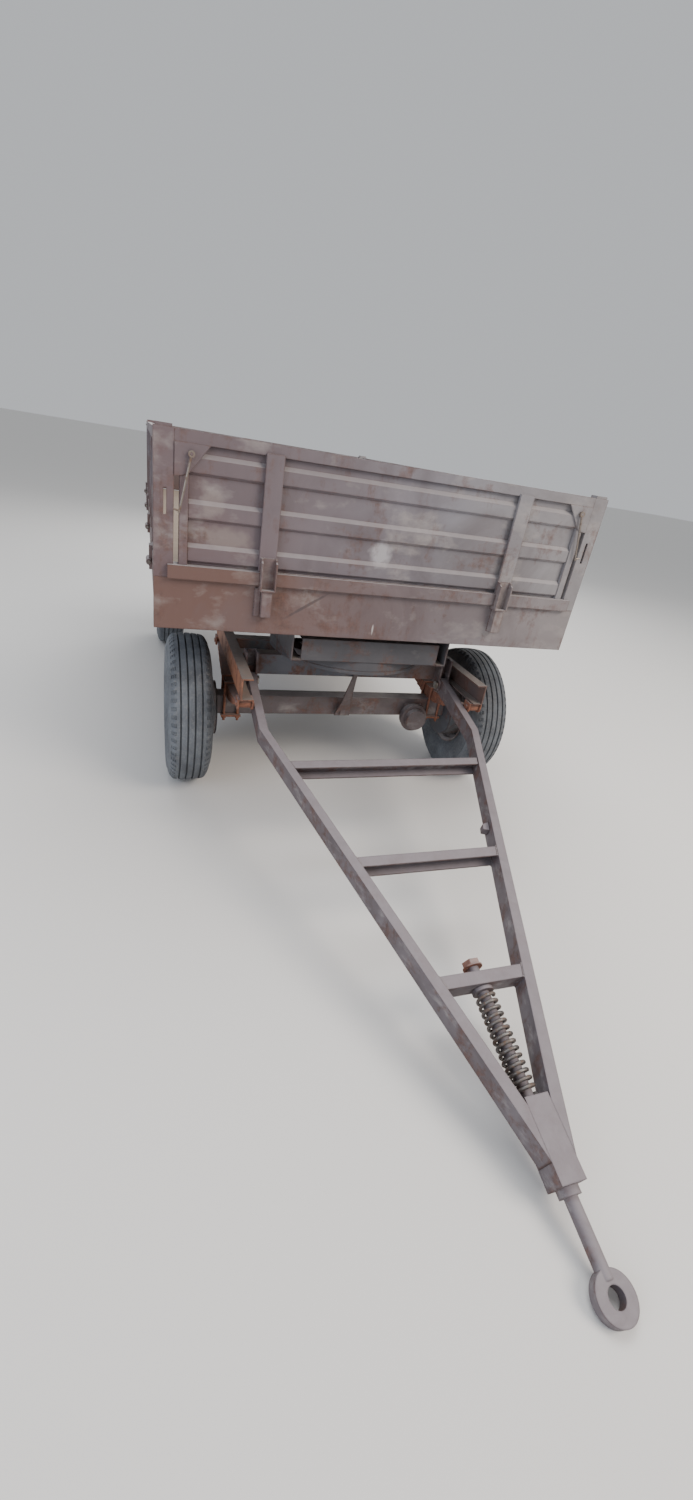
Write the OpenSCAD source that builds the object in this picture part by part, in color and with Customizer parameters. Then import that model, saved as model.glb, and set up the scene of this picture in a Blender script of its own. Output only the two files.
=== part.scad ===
// Two-axle farm trailer with a tipping load body, a turntable front axle and an A-frame drawbar.
// Front is -Y, left and right are -X and +X, the ground is Z = 0, and all sizes are in millimetres.

/* [Wheels] */
// Outer diameter of a tyre
tyre_diameter = 885; // [780:5:1080]
// Width of a tyre at its widest point
tyre_width = 240; // [200:2:280]
// Diameter of the rim where the bead sits
rim_diameter = 406; // [380:2:430]
// Distance between the two tyre centres on an axle
track = 1895; // [1750:5:2280]
// Distance between the two axles
wheelbase = 2600; // [2300:10:3000]
// Diameter of the axle spindle in the hub
spindle_diameter = 56; // [46:1:68]
// Diameter of the brake drum
drum_diameter = 330; // [300:2:350]
// Number of wheel nuts on a hub
nut_count = 6; // [5:1:8]

/* [Axles and springs] */
// Height of an axle beam
beam_height = 120; // [90:2:144]
// Width of an axle beam, front to back
beam_width = 100; // [80:2:120]
// How far the beam's middle is above the spindle
beam_lift = 42; // [20:1:50]
// Number of leaves in a spring
leaf_count = 8; // [5:1:10]
// Thickness of one leaf
leaf_thickness = 9; // [7:0.5:11]
// Width of a leaf
leaf_width = 65; // [50:1:78]
// Distance between the two eyes of a spring
spring_span = 1040; // [900:10:1200]
// How far the eyes are above the middle of the spring
spring_camber = 90; // [60:2:110]
// Diameter of a spring pin
spring_pin_diameter = 30; // [24:1:34]
// Distance between the front springs
front_spring_spacing = 1380; // [1340:5:1400]
// Distance between the rear springs and between the chassis rails
rail_spacing = 860; // [720:5:900]

/* [Turntable and chassis] */
// Height of the front bogie's members
bogie_height = 122; // [100:1:146]
// Mean diameter of the ball race
race_diameter = 840; // [800:5:900]
// Diameter of a race ball
ball_diameter = 20; // [16:1:24]
// Number of race balls
ball_count = 40; // [20:1:60]
// Thickness of the lower turntable ring
lower_ring_thickness = 22; // [18:1:28]
// Thickness of the upper turntable ring
upper_ring_thickness = 54; // [44:1:66]
// Height of a chassis rail
rail_height = 160; // [130:2:192]
// Width of a chassis rail
rail_width = 56; // [46:1:66]

/* [Drawbar] */
// Distance from the drawbar hinge to the middle of the towing eye
drawbar_length = 2790; // [2400:10:3360]
// Height of the drawbar arms
arm_height = 90; // [75:1:108]
// Width of the drawbar arms
arm_width = 45; // [38:1:54]
// Distance between the outer faces of the arms at the hinge
arm_spread = 1278; // [1240:2:1290]
// Length of the arms' parallel stretch at the hinge
arm_straight = 485; // [420:5:560]
// Diameter of a drawbar hinge pin
hinge_pin_diameter = 35; // [28:1:42]
// Diameter of the towing eye's shaft
shaft_diameter = 45; // [38:1:54]
// Bore of the towing eye
eye_bore = 52; // [44:1:62]
// Outer diameter of the towing eye
eye_diameter = 124; // [110:1:140]
// Thickness of the towing eye
eye_thickness = 36; // [30:1:43]
// Travel of the towing eye against its spring
eye_travel = 30; // [10:1:40]

/* [Load body] */
// Outer width of the load body
body_width = 2287; // [2200:1:2760]
// Outer length of the load body
body_length = 4000; // [3900:10:4800]
// How far the load body reaches ahead of the front axle
front_overhang = 566; // [540:2:600]
// Height of the walls above the floor
wall_height = 586; // [490:2:704]
// Depth of the apron below the floor at the front
apron_depth = 242; // [202:2:290]
// Height of the long bearers under the floor
bearer_height = 162; // [136:1:194]
// Height of the cross bearers under the floor
cross_bearer_height = 80; // [66:1:96]
// Thickness of the floor sheet
floor_thickness = 4; // [3:0.5:6]
// Distance between the middles of the two front wall posts
post_spacing = 1284; // [1100:2:1500]
// Width of a front wall post
post_width = 80; // [66:1:96]
// Thickness of a wall, from face to face
wall_thickness = 40; // [34:1:48]
// Thickness of a wall's sheet
sheet = 3; // [2:0.5:5]
// Diameter of the wall hinge pins
wall_pin_diameter = 16; // [13:1:19]

/* [Tipping gear] */
// How far the tipping hinge is ahead of the body's rear edge
tip_overhang = 234; // [210:2:260]
// Diameter of a tipping hinge pin
tip_pin_diameter = 40; // [34:1:48]
// Distance from the tipping hinge forward to the ram
ram_reach = 1500; // [1250:10:1500]
// Outer diameter of the ram's barrel
barrel_diameter = 140; // [126:1:150]
// Length of the ram's barrel
barrel_length = 520; // [500:5:560]
// Diameter of the ram's trunnion pins
trunnion_diameter = 50; // [42:1:60]

/* [Hidden] */
$fn = 64;

// Clearances
seat_gap = 0.2;    // pieces that rest on each other
fit_gap = 0.3;     // shafts and pins that slide or turn
move_gap = 2;      // pieces that move past each other
eps = 1;           // how far a cut runs past a face

// Heights, from the ground up
axle_z = tyre_diameter / 2;
beam_top = axle_z + beam_lift + beam_height / 2;
beam_bottom = beam_top - beam_height;
leaf_pitch = leaf_thickness + seat_gap;
leaf_mid_z = beam_top + seat_gap + (leaf_count - 1) * leaf_pitch + leaf_thickness / 2;
spring_eye_z = leaf_mid_z + spring_camber;
spring_eye_r = spring_pin_diameter / 2 + 8;
hanger_plate = 8;
bogie_z = spring_eye_z + spring_eye_r + hanger_plate + move_gap;
ring_z = bogie_z + bogie_height;
race_z = ring_z + lower_ring_thickness + 1;
rail_z = race_z + 1 + upper_ring_thickness;
rail_top = rail_z + rail_height;
bearer_z = rail_top + 0.6;
cross_bearer_z = bearer_z + bearer_height;
floor_z = cross_bearer_z + cross_bearer_height;
floor_top = floor_z + floor_thickness;
wall_top = floor_top + wall_height;
apron_z = floor_top - apron_depth;

// Lengths, from the front axle
body_front = -front_overhang;
body_rear = body_front + body_length;
tip_y = body_rear - tip_overhang;
rail_eye_r = tip_pin_diameter / 2 + 6;
tip_z = rail_top - rail_eye_r - 2;
ram_y = tip_y - ram_reach;
chassis_front = body_front + 86;

// Wheel
hub_half = 75;
beam_end = 166;                       // beam end inboard of the tyre's middle
rim_r = rim_diameter / 2;
tyre_r = tyre_diameter / 2;
side_height = tyre_r - rim_r;
drum_r = drum_diameter / 2;
spindle_r = spindle_diameter / 2;
bearing_r = spindle_r + 17;
hub_r = bearing_r + 17;
groove_depth = 12;
groove_width = 10;

// Spring
spring_half = spring_span / 2;
spring_bend = (pow(spring_half, 2) + pow(spring_camber, 2)) / (2 * spring_camber);
spring_angle = asin(spring_half / spring_bend);
spring_pin_r = spring_pin_diameter / 2 - 0.2;
u_bolt_r = 8;

// Rail section and its middle
rail_x = rail_spacing / 2;
front_spring_x = front_spring_spacing / 2;
race_r = race_diameter / 2;
ring_half = 45;
member = 60;
tie = 40;
section = 8;                          // metal of the hollowed members

// Drawbar, drawn level from its hinge towards -Y and then pitched down to the ground
hinge_y = -230;
hinge_z = bogie_z - 14;
eye_reach = drawbar_length + eye_diameter / 2;
shaft_drop = 10;
eye_low = eye_thickness / 2 + shaft_drop;
pitch = asin(hinge_z / norm([eye_reach, eye_low])) - atan(eye_low / eye_reach);
arm_outer = arm_spread / 2;
arm_mid = arm_outer - arm_width / 2;
apex_y = -drawbar_length + 158;
arm_turn = atan(arm_outer / (-apex_y - arm_straight));
arm_skew = arm_width / cos(arm_turn);
head_half = 45;
head_front = apex_y + 92;
head_length = 240;
crossbar_depth = 50;
crossbar_height = arm_height - 10;
crossbar_y = [-768, -1363, -1921];
collar_thickness = 14;
hinge_r = hinge_pin_diameter / 2;
shaft_r = shaft_diameter / 2;
cheek = 12;

// Buffer spring, between the collar on the shaft and the head
coil_rear = crossbar_y[2] - collar_thickness - move_gap - seat_gap;
coil_front = head_front + head_length + seat_gap;
coil_wire = 6.5;
coil_r = shaft_r + coil_wire + 6;
coil_turns = 8;

// Load body
half_body = body_width / 2;
corner_width = 83;
corner_depth = 60;
sill_width = 63;
sill_height = 96;
rim_height = 48;
rim_depth = 50;
rail_low = floor_top - 8;
rail_tall = 60;
panel_low = rail_low + rail_tall;
panel_high = wall_top - rim_height;
stile_gap = 23;
stile_width = 37;
stile_out = half_body - corner_width - stile_gap;
stile_in = stile_out - stile_width;
post_x = post_spacing / 2;
rib_depth = 16;
board_low = floor_top + 4;
board_high = wall_top - 6;
wall_hinge_z = floor_top - 12;
wall_pin_r = wall_pin_diameter / 2;
knuckle_r = wall_pin_r + 6;
hinge_x = half_body + knuckle_r + 1.5;
tailgate_half = half_body - corner_width - 4;
tailgate_pin_z = board_high - 26;
board_hinges = 4;
latch_x = stile_in - 8;
latch_top = panel_high - 38;

// Ram
trunnion_z = rail_z - 38;
ball_z = bearer_z + 82;
ram_wall = 11;
barrel_top = ball_z - 50;
stage_gap = 3;
ball_r = 38;
socket_r = ball_r + 32;
tip_boss_r = tip_pin_diameter / 2 + 18;
ear = 20;

// Places the model over the middle of its footprint
front_reach = hinge_y - eye_reach * cos(pitch) + (shaft_drop - eye_thickness / 2) * sin(pitch);
shift_y = -(front_reach + body_rear) / 2;

module in_frame() {
    translate([0, shift_y, 0]) children();
}

// A block between two opposite corners
module block(low, high) {
    translate(low) cube(high - low);
}

// A round bar along X
module bar_x(r, from, to) {
    translate([from, 0, 0]) rotate([0, 90, 0]) cylinder(h = to - from, r = r);
}

// A round bar along Y
module bar_y(r, from, to) {
    translate([0, from, 0]) rotate([-90, 0, 0]) cylinder(h = to - from, r = r);
}

// A block hollowed out to a channel: open on the side that the open vector points to
module channel(low, high, metal, open) {
    difference() {
        block(low, high);
        block([for (i = [0 : 2]) hollow_low(low[i], high[i], metal, open[i])],
            [for (i = [0 : 2]) hollow_high(low[i], high[i], metal, open[i])]);
    }
}

// Limits of a channel's hollow along one direction; 2 means it runs out of both ends
function hollow_low(low, high, metal, open) = open == -1 || open == 2 ? low - eps : low + metal;
function hollow_high(low, high, metal, open) = open == 1 || open == 2 ? high + eps : high - metal;

module both_sides() {
    children();
    mirror([1, 0, 0]) children();
}

// Puts a piece drawn with +X outwards on one wheel's middle
module at_wheel(side, y) {
    translate([side * track / 2, y, axle_z]) mirror([side < 0 ? 1 : 0, 0, 0]) children();
}

// Turns a profile of [radius, distance outwards] about the wheel's axis
module turned() {
    rotate([0, 90, 0]) rotate_extrude() children();
}

// ---- Wheels ----

// Half width of the tyre at a share of its side height
function side_w(k) = tyre_width / 2 * (k < 0.5
    ? 1 - 0.38 * pow(1 - k / 0.5, 2)
    : 1 - 0.30 * pow((k - 0.5) / 0.5, 3));

// Right-hand half of a tyre outline, pulled in by an inset
function tyre_side(inset) = [for (k = [0 : 0.125 : 1])
    [rim_r + fit_gap + side_height * k - (k == 1 ? inset * 1.8 : 0), side_w(k) - inset]];

module tyre_outline(inset) {
    side = tyre_side(inset);
    last = len(side) - 1;
    polygon(concat(side, [for (i = [last : -1 : 0]) [side[i][0], -side[i][1]]]));
}

module tyre() {
    color("dimgray") turned() difference() {
        tyre_outline(0);
        translate([-eps, 0]) tyre_outline(17);
        for (w = [-57, -19, 19, 57])
            translate([tyre_r - groove_depth, w - groove_width / 2])
                square([groove_depth + 2 * eps, groove_width]);
    }
}

module rim() {
    bead = side_w(0) + 3;
    lip = side_w(0.1) + 4;
    metal = 6;
    well = 20;
    outer = [[rim_r + 18, lip + metal], [rim_r + 18, lip], [rim_r, bead],
        [rim_r, 48], [rim_r - well, 34]];
    inner = [[rim_r - well - metal, 34], [rim_r - metal, 48 + metal],
        [rim_r - metal, bead + metal], [rim_r + 10, lip + metal]];
    color("lightsteelblue") difference() {
        turned() {
            polygon(concat(outer, [for (i = [len(outer) - 1 : -1 : 0]) [outer[i][0], -outer[i][1]]],
                [for (i = [len(inner) - 1 : -1 : 0]) [inner[i][0], -inner[i][1]]], inner));
            polygon([[hub_r + 2, 20], [hub_r + 60, 20], [rim_r - 42, -8], [rim_r - well - 3, -8],
                [rim_r - well - 3, -16], [rim_r - 46, -16], [hub_r + 58, 11], [hub_r + 2, 11]]);
        }
        for (i = [0 : nut_count - 1])
            rotate([i * 360 / nut_count + 180 / nut_count, 0, 0])
                translate([0, hub_r + 66, 0]) bar_x(15, -40, 40);
        for (i = [0 : nut_count - 1])
            rotate([i * 360 / nut_count, 0, 0]) translate([0, hub_r + 40, 0]) bar_x(9.6, 0, 30);
    }
}

module hub() {
    color("slategray") {
        difference() {
            turned() polygon([[bearing_r, -hub_half], [hub_r, -hub_half], [hub_r, -62],
                [drum_r - 12, -62], [drum_r - 12, -158], [drum_r, -158], [drum_r, -50],
                [hub_r, -50], [hub_r, -2], [hub_r + 58, -2], [hub_r + 58, 10.8], [hub_r, 10.8],
                [hub_r - 6, hub_half], [hub_r - 14, hub_half + 26], [0, hub_half + 26],
                [0, hub_half + 20], [bearing_r, hub_half + 20]]);
            for (i = [0 : nut_count - 1])
                rotate([i * 360 / nut_count, 0, 0]) translate([0, hub_r + 40, 0]) bar_x(9.6, -9, 14);
        }
        for (w = [-hub_half + 4, hub_half - 26])
            turned() translate([spindle_r + 0.08, w]) square([bearing_r - spindle_r - 0.16, 22]);
        for (i = [0 : nut_count - 1])
            rotate([i * 360 / nut_count, 0, 0]) translate([0, hub_r + 40, 0]) {
                bar_x(9, -12, 38);
                translate([20.4, 0, 0]) rotate([0, 90, 0]) difference() {
                    cylinder(h = 14, r = 15, $fn = 6);
                    translate([0, 0, -eps]) cylinder(h = 14 + 2 * eps, r = 9.1);
                }
            }
    }
}

// ---- Axles and springs ----

module axle_beam(y, colour) {
    end = track / 2 - beam_end;
    color(colour) translate([0, y, 0]) {
        block([-end, -beam_width / 2, beam_bottom], [end, beam_width / 2, beam_top]);
        both_sides() translate([0, 0, axle_z]) bar_x(spindle_r, end - eps, track / 2 + 68);
    }
}

// The front beam carries a tapered stay that leans up in front of the bogie's cross member
module front_axle_beam() {
    axle_beam(0, "rosybrown");
    color("rosybrown") translate([30, -beam_width / 2, beam_bottom]) {
        translate([0, -12, 6]) rotate([22, 0, 0]) rotate([90, 0, 0]) linear_extrude(10)
            polygon([[-52, 0], [52, 0], [30, 120], [7, 420], [-7, 420], [-30, 120]]);
        block([-20, -40, 10], [20, eps, 60]);
    }
}

module leaf(i) {
    reach = spring_angle * (1 - i / (leaf_count + 1));
    rotate([0, 90, 0]) rotate([0, 0, -reach])
        rotate_extrude(angle = 2 * reach, $fn = 720)
            translate([spring_bend - leaf_thickness / 2 + i * leaf_pitch, -leaf_width / 2])
                square([leaf_thickness, leaf_width]);
}

module main_leaf(x, y) {
    translate([x, y, 0]) difference() {
        union() {
            translate([0, 0, leaf_mid_z + spring_bend]) leaf(0);
            for (s = [-1, 1])
                translate([0, s * spring_half, spring_eye_z])
                    bar_x(spring_eye_r, -leaf_width / 2, leaf_width / 2);
        }
        for (s = [-1, 1])
            translate([0, s * spring_half, spring_eye_z])
                bar_x(spring_pin_diameter / 2, -leaf_width / 2 - eps, leaf_width / 2 + eps);
    }
}

module leaf_springs(x, y) {
    color("sienna") for (s = [-1, 1]) {
        main_leaf(s * x, y);
        for (i = [1 : leaf_count - 1])
            translate([s * x, y, leaf_mid_z + spring_bend]) leaf(i);
    }
}

module hanger(x, y, top) {
    inside = leaf_width / 2 + 1;
    translate([x, y, 0]) difference() {
        union() {
            for (s = [-1, 1]) {
                block([s > 0 ? inside : -inside - hanger_plate, -34, spring_eye_z],
                    [s > 0 ? inside + hanger_plate : -inside, 34, top]);
                translate([0, 0, spring_eye_z])
                    bar_x(34, s > 0 ? inside : -inside - hanger_plate,
                        s > 0 ? inside + hanger_plate : -inside);
            }
            block([-inside, -34, top - hanger_plate], [inside, 34, top]);
        }
        translate([0, 0, spring_eye_z])
            bar_x(spring_pin_diameter / 2, -inside - hanger_plate - eps, inside + hanger_plate + eps);
    }
    translate([x, y, spring_eye_z]) {
        bar_x(spring_pin_r, -inside - hanger_plate - 8, inside + hanger_plate + 8);
    }
}

module spring_hangers(x, y, under) {
    color("chocolate") for (s = [-1, 1], e = [-1, 1])
        hanger(s * x, y + e * spring_half, under - seat_gap);
}

module u_bolt(x, y) {
    leg = leaf_width / 2 + u_bolt_r + 1;
    top = leaf_mid_z + leaf_thickness / 2 + 4 + u_bolt_r;
    translate([x, y, 0]) union() {
        for (s = [-1, 1])
            translate([s * leg, 0, beam_bottom - 40]) cylinder(h = top - beam_bottom + 40, r = u_bolt_r);
        translate([0, 0, top]) bar_x(u_bolt_r + 0.6, -leg - u_bolt_r, leg + u_bolt_r);
    }
}

module u_bolts(x, y) {
    leg = leaf_width / 2 + u_bolt_r + 1;
    row = beam_width / 2 + u_bolt_r + 2;
    color("dimgray") for (s = [-1, 1]) {
        for (e = [-1, 1]) {
            u_bolt(s * x, y + e * row);
            for (t = [-1, 1])
                translate([s * x + t * leg, y + e * row, beam_bottom - 12 - 13]) difference() {
                    cylinder(h = 13, r = 14, $fn = 6);
                    translate([0, 0, -eps]) cylinder(h = 13 + 2 * eps, r = u_bolt_r + 0.15);
                }
        }
        translate([s * x, y, beam_bottom - 12]) difference() {
            block([-leg - 18, -row - 18, 0], [leg + 18, row + 18, 12 - seat_gap]);
            for (e = [-1, 1], t = [-1, 1])
                translate([t * leg, e * row, -eps]) cylinder(h = 14, r = u_bolt_r + 0.5);
        }
    }
}

// Backing plates and the two shoes inside each drum
module brakes(y) {
    color("darkslategray") for (side = [-1, 1]) at_wheel(side, y) {
        difference() {
            bar_x(drum_r - 1, -beam_end + seat_gap, -beam_end + 5);
            bar_x(spindle_r + fit_gap, -beam_end - eps, -beam_end + 6);
        }
        for (turn = [30, 210])
            rotate([turn, 0, 0]) rotate([0, 90, 0]) translate([0, 0, -150])
                rotate_extrude(angle = 120) translate([drum_r - 32, 0]) square([18, 60]);
    }
}

// Air can with its clamp ring and push rod, on a bracket on the front beam
module brake_chamber() {
    color("rosybrown") translate([535, -beam_width / 2, beam_bottom + 5]) {
        bar_y(70, -104, -60);
        bar_y(88, -60, -14);
        bar_y(94, -64, -54);
        block([-60, -14, -40], [60, 0, 80]);
    }
}

// ---- Front bogie and turntable ----

module bogie_frame() {
    side = front_spring_x;
    reach = spring_half + 50;
    cross_y = 130;
    between = side - member / 2 - seat_gap;
    top = ring_z - seat_gap;
    color("slategray") {
        both_sides() channel([side - member / 2, -reach, bogie_z],
            [side + member / 2, reach, ring_z], section, [-1, 2, 0]);
        for (s = [0, 1]) mirror([0, s, 0])
            channel([-between, cross_y - tie, bogie_z], [between, cross_y + tie, top],
                section, [2, -1, 0]);
    }
}

module race_ring(low, high) {
    difference() {
        rotate_extrude() translate([race_r - ring_half, low]) square([2 * ring_half, high - low]);
        translate([0, 0, race_z]) rotate_extrude()
            translate([race_r, 0]) circle(r = ball_diameter / 2 + fit_gap);
    }
}

module turntable_lower_ring() {
    color("dimgray") race_ring(ring_z, race_z - 1);
}

module turntable_upper_ring() {
    color("dimgray") race_ring(race_z + 1, rail_z - seat_gap);
}

module turntable_balls() {
    color("silver") for (i = [0 : ball_count - 1])
        rotate([0, 0, i * 360 / ball_count]) translate([race_r, 0, race_z])
            sphere(r = ball_diameter / 2);
}

module drawbar_brackets() {
    back = -130 - tie - seat_gap;
    plate_gap = arm_width / 2 + move_gap;
    color("rosybrown") both_sides() translate([arm_mid, 0, 0]) {
        for (s = [-1, 1]) difference() {
            translate([s > 0 ? plate_gap : -plate_gap - cheek, 0, 0]) union() {
                block([0, hinge_y - 12, hinge_z], [cheek, back, ring_z + 30]);
                translate([0, hinge_y, hinge_z]) bar_x(hinge_r + 22, 0, cheek);
            }
            translate([0, hinge_y, hinge_z]) bar_x(hinge_r + fit_gap, -90, 90);
        }
        block([-plate_gap, back - cheek, hinge_z + arm_height / 2 + 22],
            [plate_gap, back, ring_z + 30]);
    }
}

// ---- Drawbar ----

module on_drawbar() {
    translate([0, hinge_y, hinge_z]) rotate([pitch, 0, 0]) children();
}

// X of an arm's outer face at a distance along the drawbar
function arm_x(y) = y > -arm_straight ? arm_outer : arm_outer * (y - apex_y) / (-arm_straight - apex_y);

// Plan outline of the right-hand arm, with its walls pulled in by an inset
function arm_outline(inset) =
    let (end_out = apex_y + (head_half + seat_gap + inset / cos(arm_turn))
            * (-arm_straight - apex_y) / arm_outer,
        end_in = apex_y + (head_half + seat_gap + arm_skew - inset / cos(arm_turn))
            * (-arm_straight - apex_y) / arm_outer)
    [[arm_outer - inset, 0], [arm_outer - inset, -arm_straight - inset * tan(arm_turn / 2)],
        [head_half + seat_gap, end_out], [head_half + seat_gap, end_in],
        [arm_outer - arm_width + inset,
            -arm_straight - (arm_width - inset) * tan(arm_turn / 2)],
        [arm_outer - arm_width + inset, 0]];

module drawbar_arms() {
    wall = 6;
    color("rosybrown") on_drawbar() both_sides() difference() {
        union() {
            translate([0, 0, -arm_height / 2]) linear_extrude(arm_height) polygon(arm_outline(0));
            bar_x(arm_height / 2, arm_outer - arm_width, arm_outer);
        }
        difference() {
            translate([0, 0, -arm_height / 2 + wall]) linear_extrude(arm_height - 2 * wall)
                polygon(arm_outline(wall));
            block([0, -70, -arm_height], [arm_outer + eps, eps, arm_height]);
        }
        bar_x(hinge_r + fit_gap, arm_outer - arm_width - eps, arm_outer + eps);
    }
    color("rosybrown") on_drawbar() translate([0, 0, -20])
        linear_extrude(36) polygon([
            [arm_x(-1150) - arm_skew - 0.2, -1150], [arm_x(-1150) - arm_skew - 34, -1158],
            [arm_x(-1190) - arm_skew - 34, -1190], [arm_x(-1200) - arm_skew - 0.2, -1200]]);
}

module crossbar(front) {
    rear = front + crossbar_depth;
    x_front = arm_x(front) - arm_skew - seat_gap;
    x_rear = arm_x(rear) - arm_skew - seat_gap;
    translate([0, 0, -crossbar_height / 2]) linear_extrude(crossbar_height)
        polygon([[-x_front, front], [x_front, front], [x_rear, rear], [-x_rear, rear]]);
}

module drawbar_crossbars() {
    lip = 8;
    color("rosybrown") on_drawbar() {
        for (i = [0, 1]) difference() {
            crossbar(crossbar_y[i]);
            block([-arm_outer, crossbar_y[i] - eps, -crossbar_height / 2 + lip],
                [arm_outer, crossbar_y[i] + crossbar_depth - lip, crossbar_height / 2 - lip]);
        }
        difference() {
            crossbar(crossbar_y[2]);
            translate([0, 0, -shaft_drop])
                bar_y(shaft_r + fit_gap, crossbar_y[2] - eps, crossbar_y[2] + crossbar_depth + eps);
        }
    }
}

module drawbar_hinge_pins() {
    reach = arm_width / 2 + move_gap + cheek;
    color("silver") on_drawbar() both_sides() translate([arm_mid, 0, 0]) {
        bar_x(hinge_r, -reach - 2, reach + 2);
        bar_x(hinge_r + 7, -reach - 12, -reach - 2);
    }
}

module drawbar_head() {
    color("rosybrown") on_drawbar() difference() {
        union() {
            block([-head_half, head_front, -arm_height / 2 - 8],
                [head_half, head_front + head_length, arm_height / 2]);
            translate([0, 0, -shaft_drop]) bar_y(shaft_r + 14, head_front - 24, head_front + eps);
        }
        translate([0, 0, -shaft_drop])
            bar_y(shaft_r + fit_gap, head_front - 30, head_front + head_length + eps);
    }
}

module towing_eye() {
    tail = crossbar_y[2] + crossbar_depth + 60;
    color("slategray") on_drawbar() translate([0, 0, -shaft_drop]) difference() {
        union() {
            translate([0, -drawbar_length, -eye_thickness / 2])
                cylinder(h = eye_thickness, r = eye_diameter / 2);
            bar_y(shaft_r, -drawbar_length + eye_bore / 2 + 10, tail);
            bar_y(coil_r + coil_wire, crossbar_y[2] - collar_thickness - move_gap,
                crossbar_y[2] - move_gap);
        }
        translate([0, -drawbar_length, -eye_thickness])
            cylinder(h = 2 * eye_thickness, r = eye_bore / 2);
    }
}

module eye_nut() {
    start = crossbar_y[2] + crossbar_depth + eye_travel + move_gap;
    color("dimgray") on_drawbar() translate([0, 0, -shaft_drop]) difference() {
        union() {
            translate([0, start + 6, 0]) rotate([-90, 0, 0]) cylinder(h = 20, r = shaft_r + 15, $fn = 6);
            bar_y(shaft_r + 17, start, start + 6);
        }
        bar_y(shaft_r + 0.2, start - eps, start + 30);
    }
}

// Points of one ring of the coil's wire, at a turn angle
function coil_ring(angle) = [for (s = [0 : 45 : 315])
    let (r = coil_r + coil_wire * cos(s),
        y = coil_front + coil_wire + (coil_rear - coil_front - 2 * coil_wire)
            * angle / (360 * coil_turns) + coil_wire * sin(s))
    [r * cos(angle), y, r * sin(angle)]];

module buffer_spring() {
    sides = 8;
    step = 24;
    last = 360 * coil_turns / step;
    rings = [for (i = [0 : last]) each coil_ring(i * step)];
    tube = [for (i = [0 : last - 1], s = [0 : sides - 1])
        [i * sides + s, i * sides + (s + 1) % sides, (i + 1) * sides + (s + 1) % sides,
            (i + 1) * sides + s]];
    color("gainsboro") on_drawbar() translate([0, 0, -shaft_drop])
        polyhedron(rings, concat(tube, [[for (s = [sides - 1 : -1 : 0]) s],
            [for (s = [0 : sides - 1]) last * sides + s]]));
}

// ---- Chassis ----

module frame_rails() {
    wall = 8;
    color("slategray") both_sides() {
        difference() {
            union() {
                block([rail_x - rail_width / 2, chassis_front, rail_z],
                    [rail_x + rail_width / 2, tip_y - 6, rail_top]);
                translate([0, tip_y, tip_z])
                    bar_x(rail_eye_r, rail_x - rail_width / 2, rail_x + rail_width / 2);
            }
            block([0, chassis_front - eps, rail_z + wall],
                [rail_x + rail_width / 2 - wall, tip_y - 100, rail_top - wall]);
            translate([0, tip_y, tip_z])
                bar_x(tip_pin_diameter / 2 + seat_gap, rail_x - rail_width, rail_x + rail_width);
        }
    }
}

module frame_cross_members() {
    half = rail_x - rail_width / 2 - seat_gap;
    places = [chassis_front + 40, 0, race_r + 40, ram_y - 250, ram_y + 250, tip_y - 140];
    color("slategray") for (y = places)
        channel([-half, y - member / 2, rail_z], [half, y + member / 2, rail_z + 120],
            section, [2, 1, 0]);
}

module ram_cradle() {
    inner = barrel_diameter / 2 + 12;
    reach = 250 - member / 2 - seat_gap;
    color("slategray") translate([0, ram_y, 0]) both_sides() difference() {
        union() {
            block([inner, -reach, rail_z + 2], [inner + 24, reach, rail_z + 96]);
            block([inner, -70, trunnion_z], [inner + 24, 70, rail_z + 20]);
            translate([0, 0, trunnion_z]) bar_x(trunnion_diameter / 2 + 22, inner, inner + 24);
        }
        translate([0, 0, trunnion_z])
            bar_x(trunnion_diameter / 2 + fit_gap, inner - eps, inner + 25);
    }
}

module tip_hinge_pins() {
    reach = rail_width / 2 + move_gap + ear;
    color("silver") both_sides() translate([rail_x, tip_y, tip_z]) {
        bar_x(tip_pin_diameter / 2, -reach - 12, reach + 2);
        bar_x(tip_pin_diameter / 2 + 8, reach + 2, reach + 14);
    }
}

// ---- Ram ----

// One tube of the ram, from its foot to its top, with a bore of its own
module ram_tube(r, foot, top) {
    difference() {
        cylinder(h = top - foot, r = r);
        translate([0, 0, 12]) cylinder(h = top - foot, r = r - ram_wall);
    }
}

module at_ram(foot) {
    translate([0, ram_y, foot]) children();
}

module ram_barrel() {
    r = barrel_diameter / 2;
    foot = barrel_top - barrel_length;
    color("dimgray") {
        at_ram(foot) {
            ram_tube(r, foot, barrel_top);
            translate([0, 0, trunnion_z - foot]) both_sides()
                bar_x(trunnion_diameter / 2, r - 4, r + 34);
        }
    }
}

module ram_stage(i) {
    r = barrel_diameter / 2 - i * (ram_wall + fit_gap);
    foot = barrel_top - barrel_length + 12 * i + fit_gap * i;
    top = barrel_top + stage_gap * i;
    color("silver") at_ram(foot) ram_tube(r - fit_gap, foot, top);
}

module ram_rod() {
    r = barrel_diameter / 2 - 3 * (ram_wall + fit_gap) - fit_gap;
    foot = barrel_top - barrel_length + 36 + fit_gap * 3;
    color("silver") at_ram(foot) union() {
        cylinder(h = barrel_top + 3 * stage_gap - foot, r = r);
        cylinder(h = ball_z - foot, r = r - 9);
        translate([0, 0, ball_z - foot]) sphere(r = ball_r);
    }
}

// ---- Load body ----

module floor_sheet() {
    inset = wall_thickness + 6;
    color("gray") block([-half_body + inset, body_front + corner_depth + eps, floor_z],
        [half_body - inset, body_rear - corner_depth - eps, floor_top]);
}

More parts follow.
